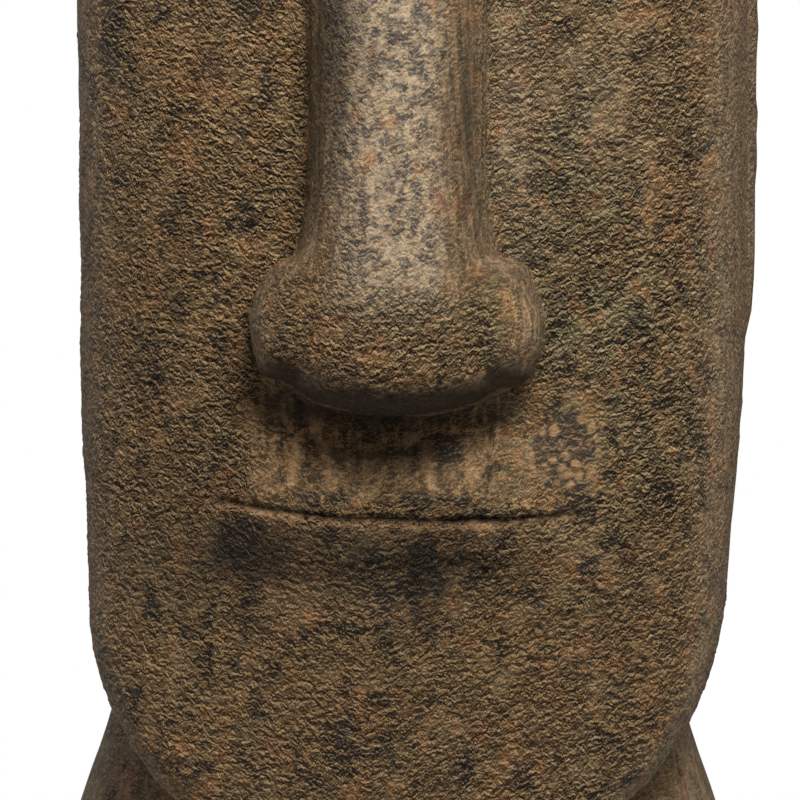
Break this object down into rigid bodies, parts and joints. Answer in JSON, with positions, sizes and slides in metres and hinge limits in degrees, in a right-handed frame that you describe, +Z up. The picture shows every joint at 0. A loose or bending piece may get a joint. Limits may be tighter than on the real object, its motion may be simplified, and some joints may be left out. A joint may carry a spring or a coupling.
{
  "type": "cast garden moai head",
  "caption": "stylised stone-look moai head for the garden, a bust with long nose, thin mouth, long ears and a flared neck cut flat below",
  "frame": {"origin": "middle of the flat underside, on the ground", "axes": "+Z up the statue, the face looks towards -Y, +X to the viewer's right"},
  "size_m": [0.3498, 0.2934, 0.71],
  "materials": {
    "weathered_stone": "coarse cast stone, dark slate stain in the hollows, tan and rust rubbed over the grain, dull sheen"
  },
  "bodies": {
    "root": {"moai_head": "weathered_stone"}
  },
  "joints": []
}
